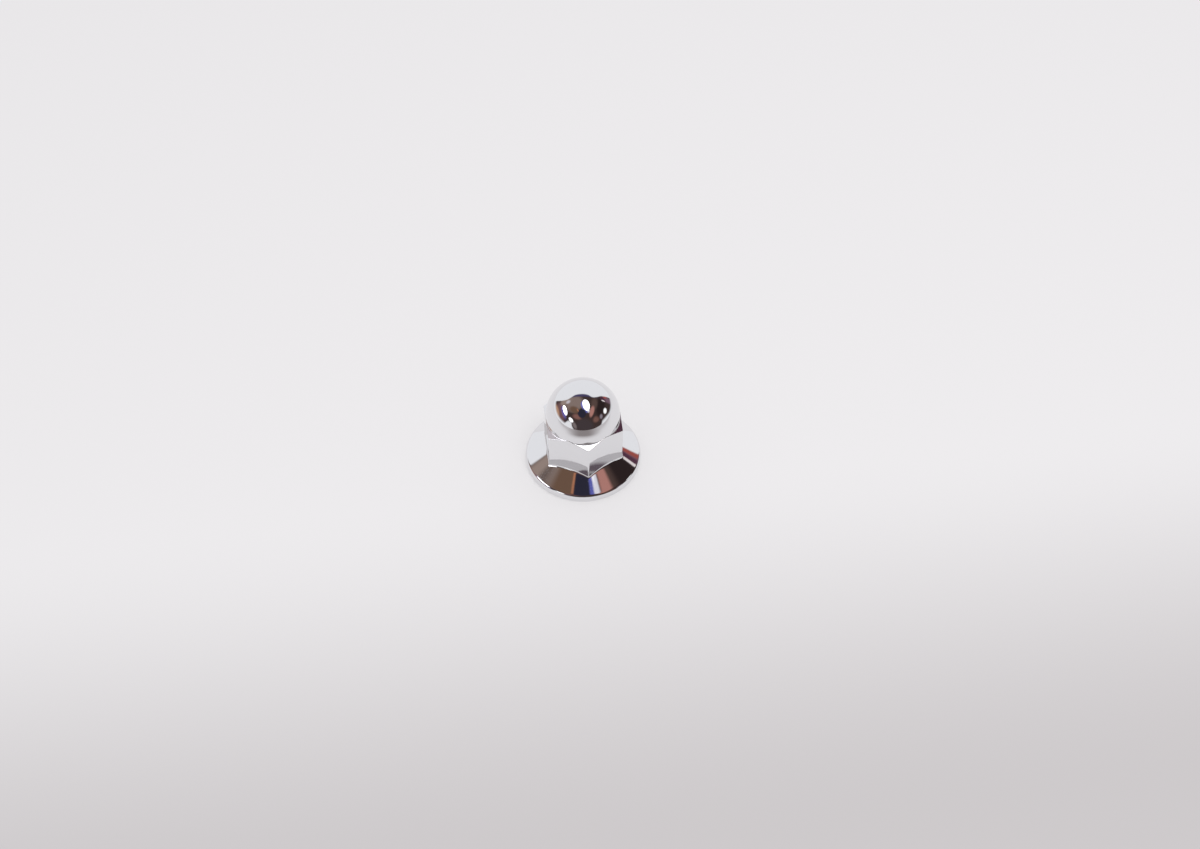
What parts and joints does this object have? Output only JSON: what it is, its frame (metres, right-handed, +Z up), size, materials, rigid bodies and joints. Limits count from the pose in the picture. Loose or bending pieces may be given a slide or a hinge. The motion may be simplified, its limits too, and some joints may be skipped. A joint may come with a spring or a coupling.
{
  "type": "cap nut",
  "caption": "Flanged cap nut: a wrench hexagon under a round dome, on a sloping round flange with a flat bearing face and a blind threaded hole.",
  "frame": {"origin": "centre of the flange's bearing face, on the nut's axis", "axes": "+Z up the axis through the dome; one corner of the hexagon points along -Y"},
  "size_m": [0.0206, 0.0206, 0.018],
  "materials": {
    "chrome_plate": "polished"
  },
  "bodies": {
    "root": {"cap_nut": "chrome_plate"}
  },
  "joints": []
}
